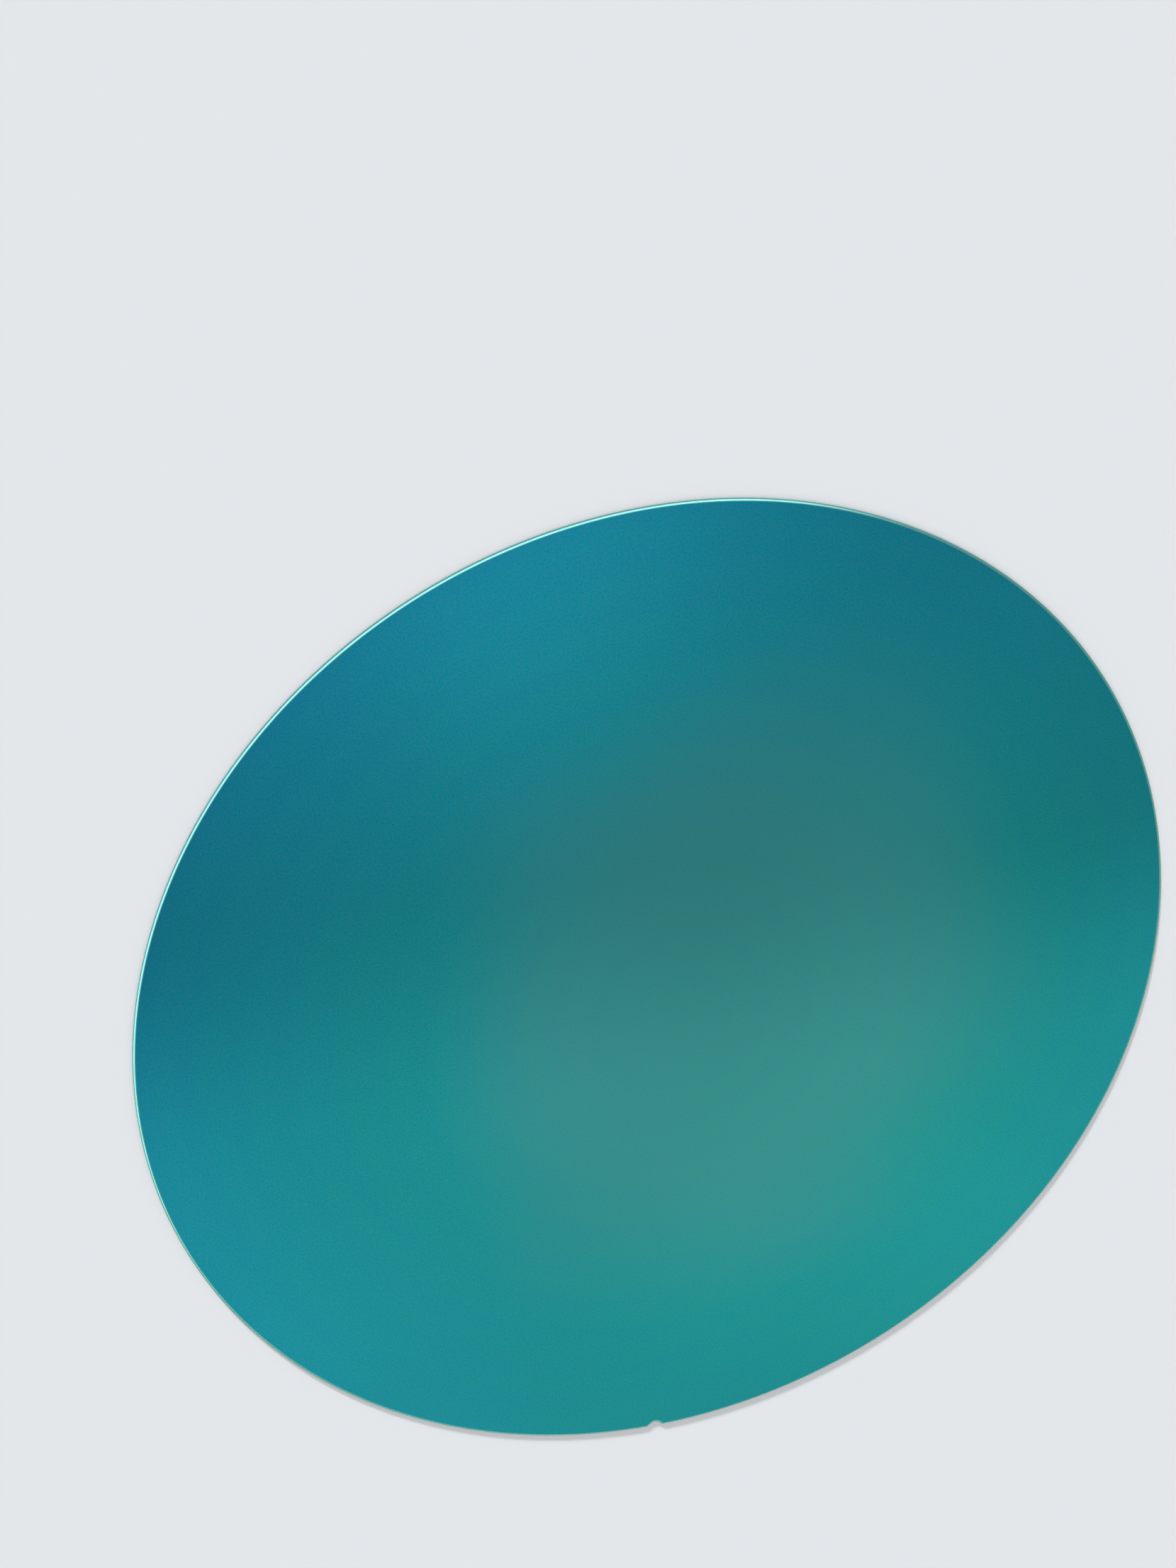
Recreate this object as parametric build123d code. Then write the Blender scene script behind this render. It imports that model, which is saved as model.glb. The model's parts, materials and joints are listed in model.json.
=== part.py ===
"""Silicon nitride wafer: a 200 mm single-crystal silicon disc with a nitride film grown on it.

The disc lies on its back face with the polished face up.
The origin is the centre of the back face, +Z is up, and the notch is on the -Y side.
The film is under half a micrometre thick, so it is a finish and not a solid of its own.
All lengths are in millimetres and all angles in degrees.
"""

import math
import os

from build123d import *

# Disc
WAFER_DIAMETER = 200.0
WAFER_THICKNESS = 0.725

# Alignment notch: a rounded V in the rim, which a 3 mm pin finds
NOTCH_DEPTH = 1.1
NOTCH_ANGLE = 90.0
NOTCH_BOTTOM_RADIUS = 1.2
NOTCH_MOUTH_RADIUS = 0.9

# Ground edge: a shallow bevel from each face, rounded into an upright land at mid-thickness
BEVEL_ANGLE = 22.0
LAND_HEIGHT = 0.2
LAND_CORNER_RADIUS = 0.15

# Worked out from the sizes above
WAFER_RADIUS = WAFER_DIAMETER / 2
HALF_NOTCH_ANGLE = math.radians(NOTCH_ANGLE / 2)
NOTCH_APEX_DEPTH = NOTCH_DEPTH + NOTCH_BOTTOM_RADIUS * (1 / math.sin(HALF_NOTCH_ANGLE) - 1)
LAND_CORNER_HEIGHT = LAND_CORNER_RADIUS * math.tan(math.radians((90 - BEVEL_ANGLE) / 2))
BEVEL_HEIGHT = (WAFER_THICKNESS - LAND_HEIGHT) / 2 - LAND_CORNER_HEIGHT
BEVEL_WIDTH = BEVEL_HEIGHT / math.tan(math.radians(BEVEL_ANGLE))


def notch_cut():
    """The rounded V that is ground out of the rim, as a flat shape."""
    reach = 2 * NOTCH_APEX_DEPTH
    half_width = reach * math.tan(HALF_NOTCH_ANGLE)
    wedge = Polygon((0, 0), (-half_width, -reach), (half_width, -reach), align=None)
    apex = wedge.vertices().sort_by(Axis.Y)[-1]
    rounded_wedge = fillet(apex, NOTCH_BOTTOM_RADIUS)
    return Pos(0, NOTCH_APEX_DEPTH - WAFER_RADIUS) * rounded_wedge


def outline():
    """The disc seen from above. Its circle starts inside the notch, so the rim has no seam."""
    disc = Rot(0, 0, -90) * Circle(WAFER_RADIUS)
    notched = disc - notch_cut()
    mouth_corners = notched.vertices().group_by(Axis.Y)[0]
    return fillet(mouth_corners, NOTCH_MOUTH_RADIUS)


def rim_edges(body, height):
    """The edges that run round the rim at one height."""
    return body.edges().filter_by_position(Axis.Z, height, height)


def bevel(body, face):
    """Bevels the rim where it meets one of the flat faces."""
    edges = rim_edges(body, face.center().Z)
    return chamfer(edges, BEVEL_WIDTH, BEVEL_HEIGHT, reference=face)


def wafer():
    """The whole wafer, as one solid."""
    body = extrude(outline(), WAFER_THICKNESS)
    body = bevel(body, body.faces().sort_by(Axis.Z)[-1])
    body = bevel(body, body.faces().sort_by(Axis.Z)[0])
    for land_corner in (BEVEL_HEIGHT, WAFER_THICKNESS - BEVEL_HEIGHT):
        body = fillet(rim_edges(body, land_corner), LAND_CORNER_RADIUS)
    return body


if __name__ == "__main__":
    os.makedirs("parts", exist_ok=True)
    silicon_disc = wafer()
    silicon_disc.label = "wafer"
    export_step(silicon_disc, "parts/wafer.step")
    print(f"bevel {BEVEL_WIDTH:.3f} by {BEVEL_HEIGHT:.3f} mm, volume {silicon_disc.volume:.1f} mm3")
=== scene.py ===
"""A silicon wafer with a silicon nitride film, lying polished face up on a pale table.

The file is laid out as an add-on: property groups hold what a user would change, one operator
makes the wafer, one makes the stage, and a panel in the 3D view's sidebar lists them.
Sizes are in metres unless a name says otherwise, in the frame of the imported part.
"""

import json
import math

import bpy
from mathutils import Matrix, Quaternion, Vector


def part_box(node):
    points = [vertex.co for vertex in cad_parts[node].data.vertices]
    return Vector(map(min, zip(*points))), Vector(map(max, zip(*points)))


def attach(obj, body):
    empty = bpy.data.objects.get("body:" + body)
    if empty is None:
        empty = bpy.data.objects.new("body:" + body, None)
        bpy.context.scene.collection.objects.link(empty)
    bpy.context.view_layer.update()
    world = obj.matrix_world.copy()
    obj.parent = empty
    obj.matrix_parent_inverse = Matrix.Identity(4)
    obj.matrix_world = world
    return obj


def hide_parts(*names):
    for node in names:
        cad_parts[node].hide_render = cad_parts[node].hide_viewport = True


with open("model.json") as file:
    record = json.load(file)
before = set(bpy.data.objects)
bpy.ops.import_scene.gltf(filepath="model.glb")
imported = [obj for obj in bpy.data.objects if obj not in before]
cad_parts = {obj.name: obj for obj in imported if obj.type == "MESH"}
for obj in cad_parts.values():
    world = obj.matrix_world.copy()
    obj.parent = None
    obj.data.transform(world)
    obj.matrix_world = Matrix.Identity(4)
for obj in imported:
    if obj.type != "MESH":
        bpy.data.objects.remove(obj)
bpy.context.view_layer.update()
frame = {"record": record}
RECORD = frame["record"]
MOUNTS = {mount["name"]: mount for mount in RECORD["mounts"]}
LOW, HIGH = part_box("wafer")

bl_info = {
    "name": "Nitride wafer",
    "version": (1, 0, 0),
    "blender": (4, 5, 0),
    "location": "3D View > Sidebar > Wafer",
    "description": "Makes a notched silicon wafer with an interference-coloured nitride film",
    "category": "Object",
}

MM = 0.001


# ---------------------------------------------------------------- what a user would change


def length(name, description, default):
    """A length property, in metres."""
    return bpy.props.FloatProperty(
        name=name, description=description, default=default, min=0, unit="LENGTH", precision=5
    )


def degrees(name, description, default):
    """An angle property, given in degrees."""
    return bpy.props.FloatProperty(
        name=name, description=description, default=math.radians(default), subtype="ANGLE"
    )


def share(name, description, default):
    """A property between 0 and 1."""
    return bpy.props.FloatProperty(
        name=name, description=description, default=default, min=0, max=1, subtype="FACTOR"
    )


def number(name, description, default):
    """A plain number."""
    return bpy.props.FloatProperty(name=name, description=description, default=default)


def colour(name, description, default):
    """A linear colour."""
    return bpy.props.FloatVectorProperty(
        name=name, description=description, default=default, min=0, max=1, size=3, subtype="COLOR"
    )


class WaferSizes(bpy.types.PropertyGroup):
    """The disc, its notch and the section of its ground edge."""

    radius: length("Radius", "From the centre to the rim", MOUNTS["rim"]["dims"]["r_mm"] * MM)
    thickness: length("Thickness", "From the back face to the polished face", HIGH.z - LOW.z)
    notch_depth: length(
        "Notch depth",
        "From the rim to the bottom of the notch",
        (MOUNTS["rim"]["dims"]["r_mm"] * MM + MOUNTS["notch"]["pos_m"][1]),
    )
    notch_angle: degrees("Notch angle", "Between the notch's two flanks", 90)
    notch_bottom: length("Notch bottom radius", "The round at the notch's bottom", 1.2 * MM)
    notch_mouth: length("Notch mouth radius", "The round at each corner of its mouth", 0.9 * MM)
    bevel_angle: degrees("Bevel angle", "Slope of the edge bevel from the face", 22)
    land_height: length(
        "Land height", "The upright band at mid-thickness", MOUNTS["rim"]["dims"]["length_mm"] * MM
    )
    land_corner: length("Land corner radius", "The round from the land to the bevel", 0.15 * MM)
    roll_off: length("Roll-off radius", "The round that polishing leaves at the face", 0.4 * MM)
    rim_steps: bpy.props.IntProperty(
        name="Rim steps", description="Segments in half of the rim", default=360, min=24
    )


class FilmLook(bpy.types.PropertyGroup):
    """The nitride film and the finish of the silicon under it."""

    thickness_nm: number("Film thickness (nm)", "Mean thickness on the polished face", 255.0)
    dome_nm: number("Dome (nm)", "How much thicker the film is in the centre than at the rim", 4.8)
    tilt_nm: number("Tilt (nm)", "How much the thickness changes from the centre to the rim", 3.9)
    tilt_direction: degrees("Tilt direction", "Where the film is thickest, from +X", -55)
    cloud_nm: number("Clouding (nm)", "Height of the broad soft unevenness", 3.5)
    seen_at: degrees("Seen at", "Angle from upright at which the film's colour is worked out", 41)
    ripple_nm: number("Ripple (nm)", "Height of the faint rings round the centre", 0.8)
    haze: share("Haze", "Grey scatter mixed into the film's colour", 0.06)
    middle_haze: share("Middle haze", "Further grey scatter in the middle of the face", 0.12)
    speckle: share("Speckle", "Fine grain in the grey scatter", 0.09)
    edge_thicker_nm: number(
        "Edge thicker (nm)", "How much thicker the film looks on the bevels, seen squarely", 9.0
    )
    # Share of painted highlight: a pale colour mixed into the edge's film colour so that the rim
    # reads as a bright line
    edge_highlight_share: share("Edge sheen", "How much the ground edge pales the film's colour", 0.2)
    # The pale colour painted into the edge as a highlight, not a colour that the edge has of its
    # own
    edge_highlight_colour: colour("Edge colour", "The pale colour of the ground edge", (0.70, 0.90, 0.90))
    polish_roughness: share("Polish roughness", "Roughness of the polished face", 0.035)
    edge_roughness: share("Edge roughness", "Roughness of the ground edge", 0.2)
    back_roughness: share("Back roughness", "Roughness of the etched back", 0.42)


class StageLook(bpy.types.PropertyGroup):
    """The table, the light and the camera."""

    floor_colour: colour("Floor colour", "Colour of the table", (0.515, 0.53, 0.55))
    azimuth: degrees("Camera azimuth", "Round the wafer from the notch side", -148.4)
    elevation: degrees("Camera elevation", "Above the table", 59.0)
    roll: degrees("Camera roll", "Turn about the line of sight", 146.3)
    distance: length("Camera distance", "From the aim point", 378 * MM)
    aim_x: bpy.props.FloatProperty(
        name="Aim X", description="Where the camera aims", default=-19.2 * MM, unit="LENGTH"
    )
    aim_y: bpy.props.FloatProperty(
        name="Aim Y", description="Where the camera aims", default=49.6 * MM, unit="LENGTH"
    )
    lens: number("Focal length (mm)", "On a 36 mm sensor", 49.95)


# ---------------------------------------------------------------- the film's colour

RAMP_STOPS = 24
RAMP_HALF_SPAN_NM = 34.0
SPECTRUM_NM = range(380, 781, 5)

# The eye's colour matching curves as bell curves: height, centre, and 1/width below and above it
RED_SENSE = (
    (0.362, 442.0, 0.0624, 0.0374),
    (1.056, 599.8, 0.0264, 0.0323),
    (-0.065, 501.1, 0.0490, 0.0382),
)
GREEN_SENSE = ((0.821, 568.8, 0.0213, 0.0247), (0.286, 530.9, 0.0613, 0.0322))
BLUE_SENSE = ((1.217, 437.0, 0.0845, 0.0278), (0.681, 459.0, 0.0385, 0.0725))
DAYLIGHT = (0.9505, 1.0, 1.089)
XYZ_TO_RGB = ((3.2406, -1.5372, -0.4986), (-0.9689, 1.8758, 0.0415), (0.0557, -0.2040, 1.0570))

# Refractive index squared is 1 + strength * w2 / (w2 - pole), with w2 the wavelength squared
NITRIDE = (2.8939, 0.0195)
SILICON = (10.42, 0.1013)


def sense(curves, wavelength_nm):
    """How strongly one of the eye's three curves answers to a wavelength."""
    total = 0.0
    for height, centre, below, above in curves:
        width = below if wavelength_nm < centre else above
        total += height * math.exp(-0.5 * ((wavelength_nm - centre) * width) ** 2)
    return total


def index(material, wavelength_nm):
    """Refractive index of a material at a wavelength."""
    strength, pole = material
    squared = (wavelength_nm / 1000) ** 2
    return math.sqrt(1 + strength * squared / (squared - pole))


def reflectance(film_nm, wavelength_nm, angle):
    """Share of the light that silicon under a nitride film reflects, for light at an angle."""
    film, base = index(NITRIDE, wavelength_nm), index(SILICON, wavelength_nm)
    air_cos = math.cos(angle)
    film_cos = math.sqrt(1 - (math.sin(angle) / film) ** 2)
    base_cos = math.sqrt(1 - (math.sin(angle) / base) ** 2)
    delay = 4 * math.pi * film * film_cos * film_nm / wavelength_nm
    total = 0.0
    across = (air_cos, film * film_cos, base * base_cos)
    along = (air_cos, film_cos / film, base_cos / base)
    for air, middle, under in (across, along):
        top = (air - middle) / (air + middle)
        bottom = (middle - under) / (middle + under)
        cross = 2 * top * bottom * math.cos(delay)
        total += 0.5 * (top**2 + bottom**2 + cross) / (1 + (top * bottom) ** 2 + cross)
    return total


def film_colour(film_nm, angle):
    """The linear colour of white light reflected by the film."""
    senses = (RED_SENSE, GREEN_SENSE, BLUE_SENSE)
    seen, white = [0.0] * 3, [0.0] * 3
    for wavelength in SPECTRUM_NM:
        share_back = reflectance(film_nm, wavelength, angle)
        for i, curves in enumerate(senses):
            answer = sense(curves, wavelength)
            seen[i] += answer * share_back
            white[i] += answer
    xyz = [seen[i] / white[i] * DAYLIGHT[i] for i in range(3)]
    return tuple(max(0.0, sum(row[i] * xyz[i] for i in range(3))) for row in XYZ_TO_RGB)


# ---------------------------------------------------------------- node helpers


def new_group(name, inputs, outputs):
    """An empty shader node group with named sockets. Returns it with its input and output nodes."""
    group = bpy.data.node_groups.new(name, "ShaderNodeTree")
    for socket, default in inputs:
        made = group.interface.new_socket(socket, in_out="INPUT", socket_type="NodeSocketFloat")
        made.default_value = default
    for socket, kind in outputs:
        group.interface.new_socket(socket, in_out="OUTPUT", socket_type=kind)
    source = group.nodes.new("NodeGroupInput")
    sink = group.nodes.new("NodeGroupOutput")
    return group, source, sink


class Nodes:
    """Adds nodes to a tree and links them, laid out from left to right."""

    def __init__(self, tree):
        self.tree = tree
        self.column = 0

    def add(self, kind, inputs=(), **settings):
        """A node with its settings, and its inputs given as {socket: value or output socket}."""
        node = self.tree.nodes.new(kind)
        node.location = (self.column * 200, 0)
        self.column += 1
        for name, value in settings.items():
            setattr(node, name, value)
        for socket, value in dict(inputs).items():
            self.put(node, socket, value)
        return node

    def put(self, node, socket, value):
        """Links an output to a socket, or sets the socket's own value."""
        if isinstance(value, bpy.types.NodeSocket):
            self.tree.links.new(value, node.inputs[socket])
        else:
            node.inputs[socket].default_value = value

    def math(self, operation, a, b=0.0):
        """The output of a Math node."""
        return self.add("ShaderNodeMath", {0: a, 1: b}, operation=operation).outputs[0]

    def group(self, group, inputs):
        """A placed node group."""
        node = self.add("ShaderNodeGroup", node_tree=group)
        for socket, value in inputs.items():
            self.put(node, socket, value)
        return node


# ---------------------------------------------------------------- shared effects

CLOUD_SCALE = 11.0
CLOUD_SEED = 3.7
CLOUD_WARP = 0.6
RING_SCALE = 38.0
RING_WARP = 1.2
RING_WARP_SCALE = 0.6

# The hazier middle of the face, as shares of the radius
MIDDLE_CENTRE = (0.16, 0.02, 0.0)
MIDDLE_FULL = 0.34
MIDDLE_END = 0.72
MIDDLE_WANDER = 0.6

# Fine grain, and the broader patches in which a finish varies
GRAIN_SIZE = 0.12 * MM
PATCH_SIZE = 6 * MM
GRAIN_DETAIL = 3.0
PATCH_DETAIL = 4.0


def film_unevenness_group(sizes, film):
    """Film thickness over the wafer: a dome, a tilt, faint rings and broad soft clouds.

    It also gives a mask of the hazier middle of the face.
    """
    group, source, sink = new_group(
        "Film unevenness",
        (
            ("Mean", film.thickness_nm),
            ("Dome", film.dome_nm),
            ("Tilt", film.tilt_nm),
            ("Ripple", film.ripple_nm),
            ("Clouds", film.cloud_nm),
        ),
        (("Thickness", "NodeSocketFloat"), ("Middle", "NodeSocketFloat")),
    )
    nodes = Nodes(group)
    place = nodes.add("ShaderNodeTexCoord").outputs["Object"]
    shrink = (1 / sizes.radius, 1 / sizes.radius, 0)
    flat = nodes.add(
        "ShaderNodeVectorMath", {0: place, 1: shrink}, operation="MULTIPLY"
    ).outputs[0]
    out_squared = nodes.add(
        "ShaderNodeVectorMath", {0: flat, 1: flat}, operation="DOT_PRODUCT"
    ).outputs["Value"]
    direction = (math.cos(film.tilt_direction), math.sin(film.tilt_direction), 0)
    along = nodes.add(
        "ShaderNodeVectorMath", {0: flat, 1: direction}, operation="DOT_PRODUCT"
    ).outputs["Value"]
    clouds = nodes.add(
        "ShaderNodeTexNoise",
        {
            "Vector": place,
            "Scale": CLOUD_SCALE,
            "Detail": 1.0,
            "Distortion": CLOUD_WARP,
            "W": CLOUD_SEED,
        },
        noise_dimensions="4D",
    ).outputs["Fac"]
    dome = nodes.math("MULTIPLY", nodes.math("SUBTRACT", 0.5, out_squared), source.outputs["Dome"])
    tilt = nodes.math("MULTIPLY", along, source.outputs["Tilt"])
    cloud = nodes.math("MULTIPLY", nodes.math("SUBTRACT", clouds, 0.5), source.outputs["Clouds"])
    rings = nodes.add(
        "ShaderNodeTexWave",
        {
            "Vector": place,
            "Scale": RING_SCALE,
            "Distortion": RING_WARP,
            "Detail Scale": RING_WARP_SCALE,
        },
        wave_type="RINGS",
        rings_direction="Z",
    ).outputs["Fac"]
    ripple = nodes.math("MULTIPLY", nodes.math("SUBTRACT", rings, 0.5), source.outputs["Ripple"])
    smooth = nodes.math("ADD", nodes.math("ADD", dome, tilt), source.outputs["Mean"])
    uneven = nodes.math("ADD", nodes.math("ADD", ripple, cloud), smooth)
    group.links.new(uneven, sink.inputs["Thickness"])
    from_middle = nodes.add(
        "ShaderNodeVectorMath", {0: flat, 1: MIDDLE_CENTRE}, operation="DISTANCE"
    ).outputs["Value"]
    wander = nodes.math("MULTIPLY", nodes.math("SUBTRACT", clouds, 0.5), MIDDLE_WANDER)
    middle = nodes.add(
        "ShaderNodeMapRange",
        {
            "Value": nodes.math("ADD", from_middle, wander),
            "From Min": MIDDLE_FULL,
            "From Max": MIDDLE_END,
            "To Min": 1.0,
            "To Max": 0.0,
        },
        interpolation_type="SMOOTHSTEP",
    )
    group.links.new(middle.outputs["Result"], sink.inputs["Middle"])
    return group


def interference_group(film):
    """The colour of a nitride film of a given thickness under a little grey haze."""
    group, source, sink = new_group(
        "Nitride interference",
        (("Thickness", film.thickness_nm), ("Haze", film.haze)),
        (("Colour", "NodeSocketColor"),),
    )
    nodes = Nodes(group)
    thinnest = film.thickness_nm - RAMP_HALF_SPAN_NM
    thickest = film.thickness_nm + RAMP_HALF_SPAN_NM
    position = nodes.add(
        "ShaderNodeMapRange",
        {"Value": source.outputs["Thickness"], "From Min": thinnest, "From Max": thickest},
    ).outputs["Result"]
    ramp = nodes.add("ShaderNodeValToRGB", {"Fac": position})
    stops = ramp.color_ramp.elements
    while len(stops) < RAMP_STOPS:
        stops.new(0.5)
    for i in range(RAMP_STOPS):
        along = i / (RAMP_STOPS - 1)
        stops[i].position = along
        film_nm = thinnest + along * (thickest - thinnest)
        stops[i].color = (*film_colour(film_nm, film.seen_at), 1)
    grey = nodes.add("ShaderNodeRGBToBW", {"Color": ramp.outputs["Color"]}).outputs["Val"]
    hazy = nodes.add(
        "ShaderNodeMix",
        {"Factor": source.outputs["Haze"], "A": ramp.outputs["Color"], "B": grey},
        data_type="RGBA",
    )
    group.links.new(hazy.outputs["Result"], sink.inputs["Colour"])
    return group


def surface_grain_group():
    """Fine grain of a ground or etched surface, as a height and a mask, both 0 to 1."""
    group, source, sink = new_group(
        "Surface grain",
        (("Grain size", GRAIN_SIZE), ("Patch size", PATCH_SIZE)),
        (("Height", "NodeSocketFloat"), ("Patches", "NodeSocketFloat")),
    )
    nodes = Nodes(group)
    place = nodes.add("ShaderNodeTexCoord").outputs["Object"]
    for socket, output, detail in (
        ("Grain size", "Height", GRAIN_DETAIL),
        ("Patch size", "Patches", PATCH_DETAIL),
    ):
        scale = nodes.math("DIVIDE", 1.0, source.outputs[socket])
        noise = nodes.add(
            "ShaderNodeTexNoise", {"Vector": place, "Scale": scale, "Detail": detail}
        )
        group.links.new(noise.outputs["Fac"], sink.inputs[output])
    return group


# ---------------------------------------------------------------- materials

SPECKLE_SIZE = 0.35 * MM
SPECKLE_GAIN = 4.0

# The range of the patches' noise that is stretched over the whole change in roughness
PATCH_RANGE = (0.3, 0.7)
POLISH_PATCH_SIZE = 30 * MM
POLISH_VARIATION = 0.3
EDGE_GRAIN = {"spread": 0.05, "grain": 0.06 * MM, "patches": 2 * MM, "depth": 0.0015 * MM}
BACK_GRAIN = {"spread": 0.08, "grain": 0.15 * MM, "patches": 9 * MM, "depth": 0.004 * MM}


def new_material(name):
    """A material with an empty Principled surface. Returns it, its nodes and the shader."""
    material = bpy.data.materials.new(name)
    material.use_nodes = True
    shader = next(n for n in material.node_tree.nodes if n.type == "BSDF_PRINCIPLED")
    shader.inputs["Metallic"].default_value = 1.0
    return material, Nodes(material.node_tree), shader


class WaferFinishes:
    """The three finishes of the wafer and the effects that they share."""

    def __init__(self, sizes, film):
        self.film = film
        self.unevenness = film_unevenness_group(sizes, film)
        self.interference = interference_group(film)
        self.grain = surface_grain_group()

    def colour(self, nodes, mean_nm):
        """The film's colour socket for a mean thickness."""
        look = self.film
        uneven = nodes.group(
            self.unevenness,
            {
                "Mean": mean_nm,
                "Dome": look.dome_nm,
                "Tilt": look.tilt_nm,
                "Ripple": look.ripple_nm,
                "Clouds": look.cloud_nm,
            },
        )
        middle = nodes.math("MULTIPLY", uneven.outputs["Middle"], look.middle_haze)
        fine = nodes.group(self.grain, {"Grain size": SPECKLE_SIZE})
        speckle = nodes.math("SUBTRACT", fine.outputs["Height"], 0.5)
        speckle = nodes.math("MULTIPLY", speckle, SPECKLE_GAIN * look.speckle)
        haze = nodes.math("ADD", nodes.math("ADD", middle, look.haze), speckle)
        tinted = nodes.group(
            self.interference,
            {"Thickness": uneven.outputs["Thickness"], "Haze": nodes.math("MAXIMUM", haze, 0.0)},
        )
        return tinted.outputs["Colour"]

    def vary_roughness(self, nodes, shader, grain, lowest, highest):
        """Makes a shader's roughness vary in patches between two values."""
        rough = nodes.add(
            "ShaderNodeMapRange",
            {
                "Value": grain.outputs["Patches"],
                "From Min": PATCH_RANGE[0],
                "From Max": PATCH_RANGE[1],
                "To Min": lowest,
                "To Max": highest,
            },
        )
        nodes.put(shader, "Roughness", rough.outputs["Result"])

    def roughen(self, nodes, shader, mean, look):
        """Gives a shader a grained bump, and a roughness that varies in patches about a mean."""
        grain = nodes.group(
            self.grain, {"Grain size": look["grain"], "Patch size": look["patches"]}
        )
        bump = nodes.add(
            "ShaderNodeBump",
            {"Height": grain.outputs["Height"], "Strength": 1.0, "Distance": look["depth"]},
        )
        nodes.put(shader, "Normal", bump.outputs["Normal"])
        self.vary_roughness(nodes, shader, grain, mean - look["spread"], mean + look["spread"])

    def polished_face(self):
        """Mirror-polished silicon under the film."""
        material, nodes, shader = new_material("polished_nitride")
        nodes.put(shader, "Base Color", self.colour(nodes, self.film.thickness_nm))
        grain = nodes.group(self.grain, {"Patch size": POLISH_PATCH_SIZE})
        mean = self.film.polish_roughness
        self.vary_roughness(
            nodes, shader, grain, mean * (1 - POLISH_VARIATION), mean * (1 + POLISH_VARIATION)
        )
        return material

    def ground_edge(self):
        """The bevels and the land, ground fine and etched, under the film, with a painted
        highlight: a pale colour mixed into the film's colour so that the rim shows as a bright
        line.
        """
        material, nodes, shader = new_material("ground_edge_nitride")
        mean_nm = self.film.thickness_nm + self.film.edge_thicker_nm
        # Painted highlight: the edge's film colour is mixed toward a pale colour so that the rim
        # reads as a bright line
        painted_highlight = nodes.add(
            "ShaderNodeMix",
            {
                "Factor": self.film.edge_highlight_share,
                "A": self.colour(nodes, mean_nm),
                "B": (*self.film.edge_highlight_colour, 1),
            },
            data_type="RGBA",
        )
        nodes.put(shader, "Base Color", painted_highlight.outputs["Result"])
        self.roughen(nodes, shader, self.film.edge_roughness, EDGE_GRAIN)
        return material

    def etched_back(self):
        """The acid-etched back, dull and slightly pitted."""
        material, nodes, shader = new_material("etched_back_nitride")
        nodes.put(shader, "Base Color", self.colour(nodes, self.film.thickness_nm))
        self.roughen(nodes, shader, self.film.back_roughness, BACK_GRAIN)
        return material


# ---------------------------------------------------------------- the wafer's mesh

LAND_CORNER_STEPS = 5
ROLL_OFF_STEPS = 3
NOTCH_STEPS = 12
FLAT_RING = 0.15 * MM
MERGE = 0.0005 * MM
FACE_TOLERANCE = math.radians(1)


def deselect_all():
    """Nothing stays selected, so that the next operator acts only on its own object."""
    for item in bpy.context.selected_objects:
        item.select_set(False)


def apply_mirror(piece, axis):
    """Doubles a piece across the plane through the origin and welds the two halves."""
    mirror = piece.modifiers.new("mirror", "MIRROR")
    mirror.use_axis = [i == axis for i in range(3)]
    mirror.use_clip = True
    mirror.merge_threshold = MERGE
    bpy.ops.object.modifier_apply(modifier=mirror.name)


def spin_arc(centre, angle, steps):
    """Extends the traced line by an arc about a centre, anticlockwise for a positive angle."""
    bpy.ops.mesh.spin(steps=steps, angle=-angle, center=centre, axis=(0, 0, 1))


class NotchPlan:
    """Centres and tangent points of the notch's right half, in the plane of the wafer."""

    def __init__(self, sizes):
        half = sizes.notch_angle / 2
        flank = Vector((math.sin(half), -math.cos(half)))
        inward = Vector((math.cos(half), math.sin(half)))
        apex_depth = sizes.notch_depth + sizes.notch_bottom * (1 / math.sin(half) - 1)
        apex = Vector((0, apex_depth - sizes.radius))
        self.bottom = Vector((0, sizes.notch_depth - sizes.radius))
        self.bottom_centre = self.bottom - Vector((0, sizes.notch_bottom))
        self.bottom_turn = math.pi / 2 - half
        flank_start = self.bottom_centre + inward * sizes.notch_bottom
        offset = apex + inward * sizes.notch_mouth
        reach = sizes.radius - sizes.notch_mouth
        along = offset.dot(flank)
        run = math.sqrt(along**2 - offset.length_squared + reach**2) - along
        self.mouth_centre = offset + flank * run
        self.flank_step = apex + flank * run - flank_start
        outward = self.mouth_centre.normalized()
        self.mouth_turn = math.pi - (-inward).angle(-outward)
        self.rim_turn = math.pi / 2 - math.atan2(outward.y, outward.x)


def trace_outline(sizes, height):
    """Traces the right half of the outline from a single point, then mirrors it left."""
    plan = NotchPlan(sizes)
    deselect_all()
    bpy.ops.mesh.primitive_plane_add(size=sizes.thickness)
    piece = bpy.context.object
    bpy.ops.object.mode_set(mode="EDIT")
    bpy.ops.mesh.merge(type="CENTER")
    bpy.ops.transform.translate(value=(*plan.bottom, height))
    spin_arc((*plan.bottom_centre, height), -plan.bottom_turn, NOTCH_STEPS)
    bpy.ops.mesh.extrude_vertices_move(TRANSFORM_OT_translate={"value": (*plan.flank_step, 0)})
    spin_arc((*plan.mouth_centre, height), plan.mouth_turn, NOTCH_STEPS)
    spin_arc((0, 0, height), plan.rim_turn, sizes.rim_steps)
    bpy.ops.object.mode_set(mode="OBJECT")
    apply_mirror(piece, 0)
    return piece


def arc_steps(radius, start, end, count):
    """Steps (inward, upward) over an arc, with the slope at its start and end from the face."""
    steps = []
    for i in range(count):
        a = start + (end - start) * i / count
        b = start + (end - start) * (i + 1) / count
        inward = radius * (math.sin(a) - math.sin(b))
        upward = radius * (math.cos(b) - math.cos(a))
        steps.append((inward, upward))
    return steps


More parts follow.
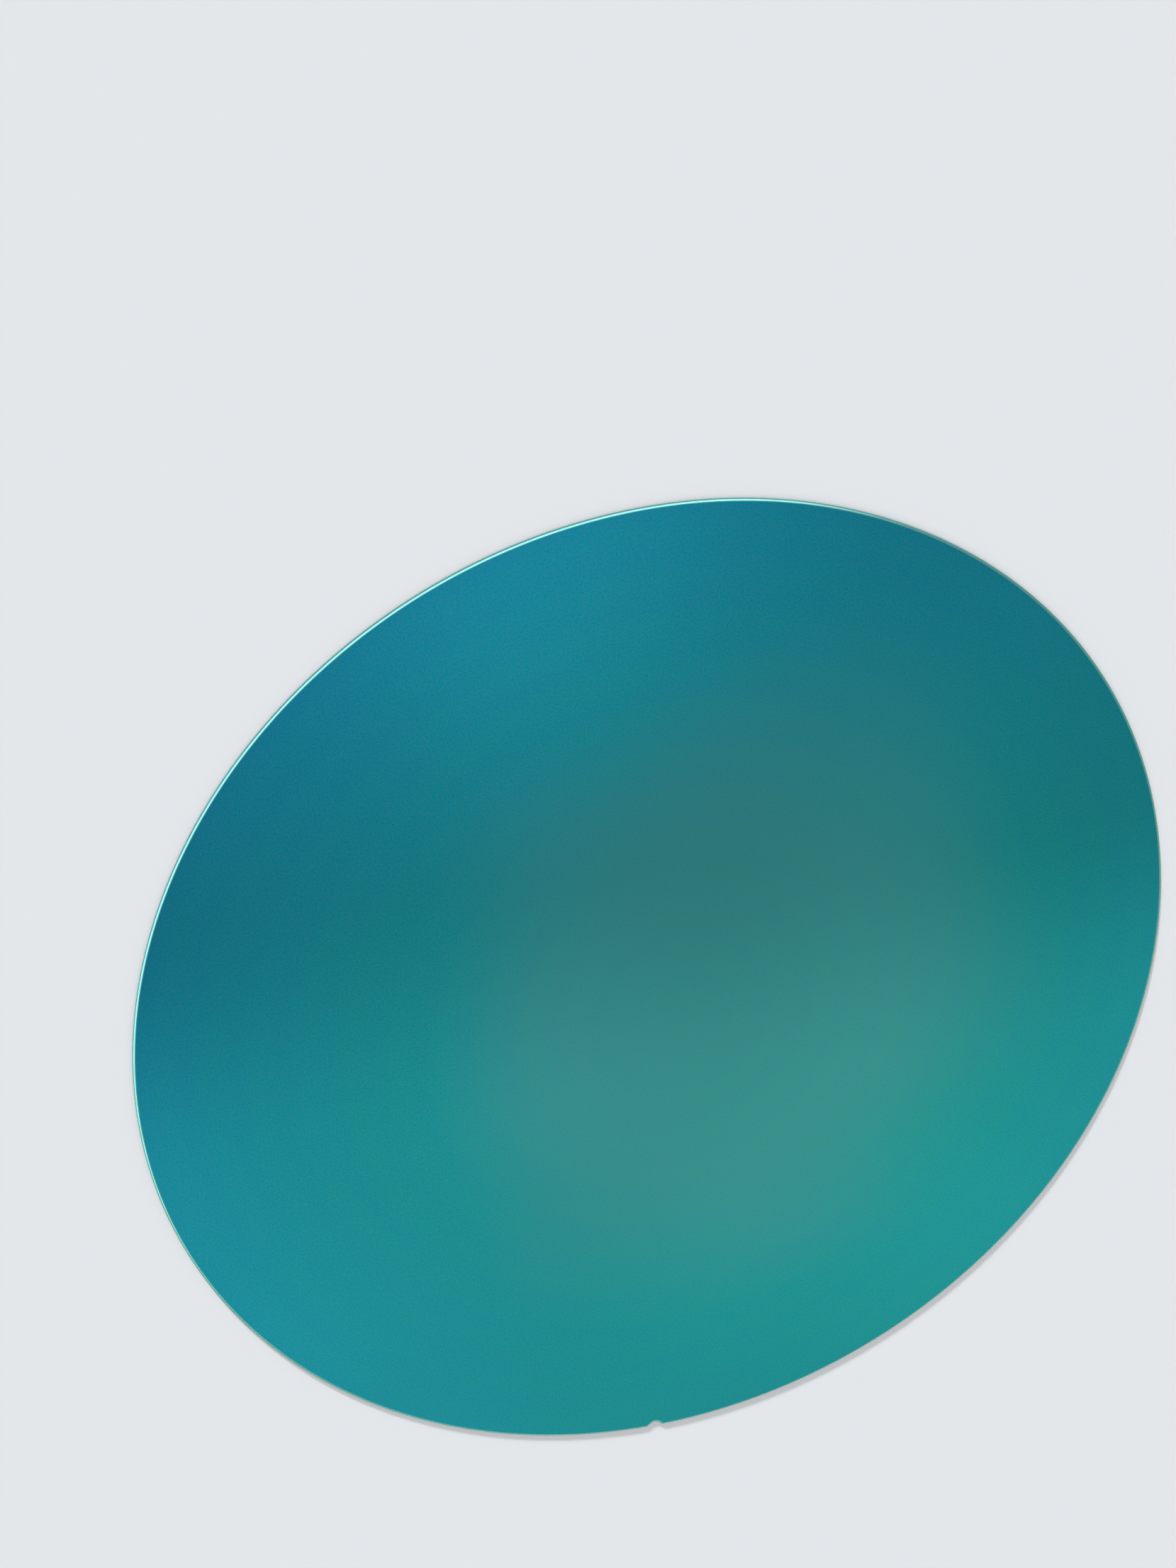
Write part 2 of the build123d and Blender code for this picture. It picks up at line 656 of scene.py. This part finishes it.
def edge_section(sizes):
    """Steps (inward, upward) from the land's top edge over the corner and bevel to the face."""
    slope = sizes.bevel_angle
    corner = arc_steps(sizes.land_corner, math.pi / 2, slope, LAND_CORNER_STEPS)
    roll_off = arc_steps(sizes.roll_off, slope, 0, ROLL_OFF_STEPS)
    total_rise = (sizes.thickness - sizes.land_height) / 2
    bevel_rise = total_rise - sum(upward for _, upward in corner + roll_off)
    bevel = (bevel_rise / math.tan(slope), bevel_rise)
    return [*corner, bevel, *roll_off, (FLAT_RING, 0.0)]


def fill_outline(piece):
    """Fills the traced outline with one face that points up, and leaves it selected."""
    bpy.ops.object.mode_set(mode="EDIT")
    bpy.ops.mesh.select_all(action="SELECT")
    bpy.ops.mesh.edge_face_add()
    bpy.ops.object.mode_set(mode="OBJECT")
    if len(piece.data.polygons) != 1:
        raise RuntimeError("the wafer's outline did not fill")
    if piece.data.polygons[0].normal.z < 0:
        piece.data.flip_normals()


def raise_face(sizes):
    """Insets the filled face over the edge's section, and draws the rim down to mid-thickness."""
    bpy.ops.object.mode_set(mode="EDIT")
    bpy.ops.mesh.select_mode(type="FACE")
    for inward, upward in edge_section(sizes):
        bpy.ops.mesh.inset(thickness=inward, depth=upward, use_even_offset=True)
    bpy.ops.mesh.select_mode(type="EDGE")
    bpy.ops.mesh.select_all(action="DESELECT")
    bpy.ops.mesh.select_non_manifold(
        extend=False,
        use_wire=False,
        use_multi_face=False,
        use_non_contiguous=False,
        use_verts=False,
    )
    bpy.ops.mesh.extrude_region_move(
        TRANSFORM_OT_translate={"value": (0, 0, -sizes.land_height / 2)}
    )
    bpy.ops.object.mode_set(mode="OBJECT")


def close_and_lift(piece, sizes):
    """Mirrors the upper half down, welds it and stands the wafer on its back face."""
    apply_mirror(piece, 2)
    bpy.ops.object.mode_set(mode="EDIT")
    bpy.ops.mesh.select_all(action="SELECT")
    bpy.ops.mesh.remove_doubles(threshold=MERGE)
    bpy.ops.mesh.normals_make_consistent(inside=False)
    bpy.ops.transform.translate(value=(0, 0, LOW.z + sizes.thickness / 2))
    bpy.ops.object.mode_set(mode="OBJECT")
    bpy.ops.object.shade_smooth()


def paint_faces(piece, finishes):
    """Gives the top, the edge and the back their own finish, by where each face points."""
    nearly_upright = math.cos(FACE_TOLERANCE)
    for material in (finishes.polished_face(), finishes.ground_edge(), finishes.etched_back()):
        piece.data.materials.append(material)
    for face in piece.data.polygons:
        if face.normal.z > nearly_upright:
            face.material_index = 0
        elif face.normal.z < -nearly_upright:
            face.material_index = 2
        else:
            face.material_index = 1


class WAFER_OT_make_wafer(bpy.types.Operator):
    """Make the notched wafer with its ground edge and its three finishes"""

    bl_idname = "wafer.make_wafer"
    bl_label = "Make wafer"

    def execute(self, context):
        """Traces, fills and finishes the wafer, and puts it in the frame."""
        sizes, film = context.scene.wafer_sizes, context.scene.wafer_film
        piece = trace_outline(sizes, sizes.land_height / 2)
        piece.name = piece.data.name = "nitride_wafer"
        fill_outline(piece)
        raise_face(sizes)
        close_and_lift(piece, sizes)
        paint_faces(piece, WaferFinishes(sizes, film))
        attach(piece, "root")
        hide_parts("wafer")
        return {"FINISHED"}


# ---------------------------------------------------------------- the stage

FLOOR_SIZE = 30.0
FLOOR_DROP = 0.01 * MM
FLOOR_ROUGHNESS = 0.7
FLOOR_SPECULAR = 0.2
KEY_DIRECTION = (-0.5, 1.25, 0.35)
KEY_STRENGTH = 6.0
KEY_SPREAD = math.radians(6)

# Brightness of the surroundings, where 1 is white, and the heights between which walls give way
# to what is overhead. A height is the sine of the angle above the table.
WALL_LEVEL = 0.80
GAP_LEVEL = 0.62
WALL_HEIGHTS = (0.15, 0.6)
LOWEST_HEIGHT = 0.05

# Overhead panels: centre, half width and edge softness, in metres at one metre up
PANELS = (
    {"level": 0.96, "across": (0.40, 0.55, 0.20), "along": (-0.92, 0.27, 0.09)},
    {"level": 0.96, "across": (0.26, 0.14, 0.14), "along": (-0.36, 0.11, 0.10)},
)

# A curved strip light, which the bevels on one side reflect, and a darker ring inside it
STRIP_CENTRE = (0.47, -0.85, 0.0)
STRIP_RADIUS = 1.31
STRIP_HALF_WIDTH = 0.17
STRIP_SOFTNESS = 0.08
STRIP_LEVEL = 2.6
STRIP_END = (-0.55, 1.25, 0.2)
DARK_RING_RADIUS = 0.95
DARK_RING_HALF_WIDTH = 0.14
DARK_RING_SHARE = 0.35

# Soft unevenness, which fades in between two heights
UNEVEN_SCALE = 4.5
UNEVEN_SHARE = 0.3
UNEVEN_HEIGHTS = (0.4, 0.6)


def make_floor(look):
    """A pale matt table under the wafer."""
    deselect_all()
    bpy.ops.mesh.primitive_plane_add(size=FLOOR_SIZE, location=(0, 0, LOW.z - FLOOR_DROP))
    floor = bpy.context.object
    floor.name = floor.data.name = "floor"
    material = bpy.data.materials.new("pale_table")
    material.use_nodes = True
    shader = next(n for n in material.node_tree.nodes if n.type == "BSDF_PRINCIPLED")
    shader.inputs["Base Color"].default_value = (*look.floor_colour, 1)
    shader.inputs["Roughness"].default_value = FLOOR_ROUGHNESS
    shader.inputs["Specular IOR Level"].default_value = FLOOR_SPECULAR
    floor.data.materials.append(material)


def soft_band(nodes, coordinate, centre, half_width, softness):
    """A mask that is 1 inside a band of a coordinate and fades out over its soft edges."""
    off_centre = nodes.math("ABSOLUTE", nodes.math("SUBTRACT", coordinate, centre))
    band = nodes.add(
        "ShaderNodeMapRange",
        {
            "Value": off_centre,
            "From Min": half_width - softness,
            "From Max": half_width + softness,
            "To Min": 1.0,
            "To Max": 0.0,
        },
        interpolation_type="SMOOTHSTEP",
    )
    return band.outputs["Result"]


class Surroundings:
    """Brightness in every direction, as sockets of the world's nodes."""

    def __init__(self, nodes):
        """Finds a direction's height, and the point where it passes one metre up."""
        self.nodes = nodes
        direction = nodes.add("ShaderNodeTexCoord").outputs["Generated"]
        split = nodes.add("ShaderNodeSeparateXYZ", {0: direction})
        x, y, self.height = (split.outputs[axis] for axis in "XYZ")
        above = nodes.math("MAXIMUM", self.height, LOWEST_HEIGHT)
        self.across = nodes.math("DIVIDE", x, above)
        self.along = nodes.math("DIVIDE", y, above)
        place = nodes.add("ShaderNodeCombineXYZ", {"X": self.across, "Y": self.along})
        self.overhead = place.outputs["Vector"]
        self.from_strip_centre = nodes.add(
            "ShaderNodeVectorMath", {0: self.overhead, 1: STRIP_CENTRE}, operation="DISTANCE"
        ).outputs["Value"]

    def by_height(self, heights, lower, upper):
        """A value that changes smoothly from one to another between two heights."""
        change = self.nodes.add(
            "ShaderNodeMapRange",
            {
                "Value": self.height,
                "From Min": heights[0],
                "From Max": heights[1],
                "To Min": lower,
                "To Max": upper,
            },
            interpolation_type="SMOOTHSTEP",
        )
        return change.outputs["Result"]

    def panel(self, panel):
        """How much an overhead panel adds to the gap round it."""
        mask = self.nodes.math(
            "MULTIPLY",
            soft_band(self.nodes, self.across, *panel["across"]),
            soft_band(self.nodes, self.along, *panel["along"]),
        )
        return self.nodes.math("MULTIPLY", mask, panel["level"] - GAP_LEVEL)

    def unevenness(self):
        """A factor near 1 that varies softly overhead and is 1 at the walls."""
        noise = self.nodes.add(
            "ShaderNodeTexNoise", {"Vector": self.overhead, "Scale": UNEVEN_SCALE, "Detail": 0.0}
        ).outputs["Fac"]
        share_here = self.by_height(UNEVEN_HEIGHTS, 0.0, UNEVEN_SHARE)
        change = self.nodes.math("MULTIPLY", self.nodes.math("SUBTRACT", noise, 0.5), share_here)
        return self.nodes.math("ADD", change, 1.0)

    def dark_ring(self):
        """A factor below 1 in the ring inside the strip light."""
        ring = soft_band(
            self.nodes,
            self.from_strip_centre,
            DARK_RING_RADIUS,
            DARK_RING_HALF_WIDTH,
            STRIP_SOFTNESS,
        )
        dark = self.nodes.math("MULTIPLY", ring, DARK_RING_SHARE)
        return self.nodes.math("SUBTRACT", 1.0, dark)

    def strip(self):
        """The light that the curved strip adds, which fades out at its ends."""
        mask = self.nodes.math(
            "MULTIPLY",
            soft_band(
                self.nodes,
                self.from_strip_centre,
                STRIP_RADIUS,
                STRIP_HALF_WIDTH,
                STRIP_SOFTNESS,
            ),
            soft_band(self.nodes, self.across, *STRIP_END),
        )
        return self.nodes.math("MULTIPLY", mask, STRIP_LEVEL)


def make_world():
    """Soft surroundings: pale walls and, overhead, panels, a strip light and a darker ring."""
    world = bpy.data.worlds.new("soft_studio")
    world.use_nodes = True
    bpy.context.scene.world = world
    nodes = Nodes(world.node_tree)
    background = next(n for n in world.node_tree.nodes if n.type == "BACKGROUND")
    around = Surroundings(nodes)
    level = around.by_height(WALL_HEIGHTS, WALL_LEVEL, GAP_LEVEL)
    for panel in PANELS:
        level = nodes.math("ADD", level, around.panel(panel))
    level = nodes.math("MULTIPLY", level, around.unevenness())
    level = nodes.math("MULTIPLY", level, around.dark_ring())
    level = nodes.math("ADD", level, around.strip())
    nodes.put(background, "Color", level)


def make_key_light():
    """An even low key light from behind the wafer, for a thin shadow along its rim."""
    deselect_all()
    bpy.ops.object.light_add(type="SUN", location=KEY_DIRECTION)
    lamp = bpy.context.object
    lamp.name = "key_light"
    lamp.data.energy = KEY_STRENGTH
    lamp.data.angle = KEY_SPREAD
    lamp.rotation_mode = "QUATERNION"
    lamp.rotation_quaternion = (-Vector(KEY_DIRECTION)).to_track_quat("-Z", "Y")
    lamp.visible_glossy = False


def make_camera(look):
    """The camera, set by its direction, distance and roll about the aim point."""
    flat = math.cos(look.elevation)
    back = Vector(
        (math.sin(look.azimuth) * flat, -math.cos(look.azimuth) * flat, math.sin(look.elevation))
    )
    aim = Vector((look.aim_x, look.aim_y, HIGH.z))
    bpy.ops.object.camera_add(location=aim + back * look.distance)
    camera = bpy.context.object
    camera.name = "camera"
    camera.rotation_mode = "QUATERNION"
    upright = (-back).to_track_quat("-Z", "Y")
    camera.rotation_quaternion = upright @ Quaternion((0, 0, 1), look.roll)
    camera.data.lens = look.lens
    camera.data.sensor_width = 36.0
    camera.data.clip_start = 0.01
    camera.data.clip_end = 100.0
    bpy.context.scene.camera = camera


class WAFER_OT_make_stage(bpy.types.Operator):
    """Make the pale table, the soft light and the camera"""

    bl_idname = "wafer.make_stage"
    bl_label = "Make stage"

    def execute(self, context):
        """Puts the wafer on a plain table in soft light."""
        look = context.scene.wafer_stage
        make_floor(look)
        make_world()
        make_key_light()
        make_camera(look)
        context.scene.view_settings.view_transform = "Standard"
        return {"FINISHED"}


# ---------------------------------------------------------------- the sidebar


class WAFER_PT_panel(bpy.types.Panel):
    """Lists the wafer's sizes, its film and the stage, with a button for each operator"""

    bl_idname = "WAFER_PT_panel"
    bl_label = "Nitride wafer"
    bl_space_type = "VIEW_3D"
    bl_region_type = "UI"
    bl_category = "Wafer"

    def draw(self, context):
        """Shows every property of each group above its operator's button."""
        scene = context.scene
        for title, groups, operator in (
            ("Wafer", (scene.wafer_sizes, scene.wafer_film), WAFER_OT_make_wafer),
            ("Stage", (scene.wafer_stage,), WAFER_OT_make_stage),
        ):
            box = self.layout.box()
            box.label(text=title)
            for group in groups:
                for name in group.__annotations__:
                    box.prop(group, name)
            box.operator(operator.bl_idname)


CLASSES = (
    WaferSizes,
    FilmLook,
    StageLook,
    WAFER_OT_make_wafer,
    WAFER_OT_make_stage,
    WAFER_PT_panel,
)


def register():
    """Registers the classes and hangs the property groups on the scene."""
    for cls in CLASSES:
        bpy.utils.register_class(cls)
    bpy.types.Scene.wafer_sizes = bpy.props.PointerProperty(type=WaferSizes)
    bpy.types.Scene.wafer_film = bpy.props.PointerProperty(type=FilmLook)
    bpy.types.Scene.wafer_stage = bpy.props.PointerProperty(type=StageLook)


def unregister():
    """Undoes what register did."""
    del bpy.types.Scene.wafer_stage
    del bpy.types.Scene.wafer_film
    del bpy.types.Scene.wafer_sizes
    for cls in reversed(CLASSES):
        bpy.utils.unregister_class(cls)


def main():
    """Registers the add-on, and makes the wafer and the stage."""
    register()
    bpy.ops.wafer.make_wafer()
    bpy.ops.wafer.make_stage()


if __name__ == "__main__":
    main()
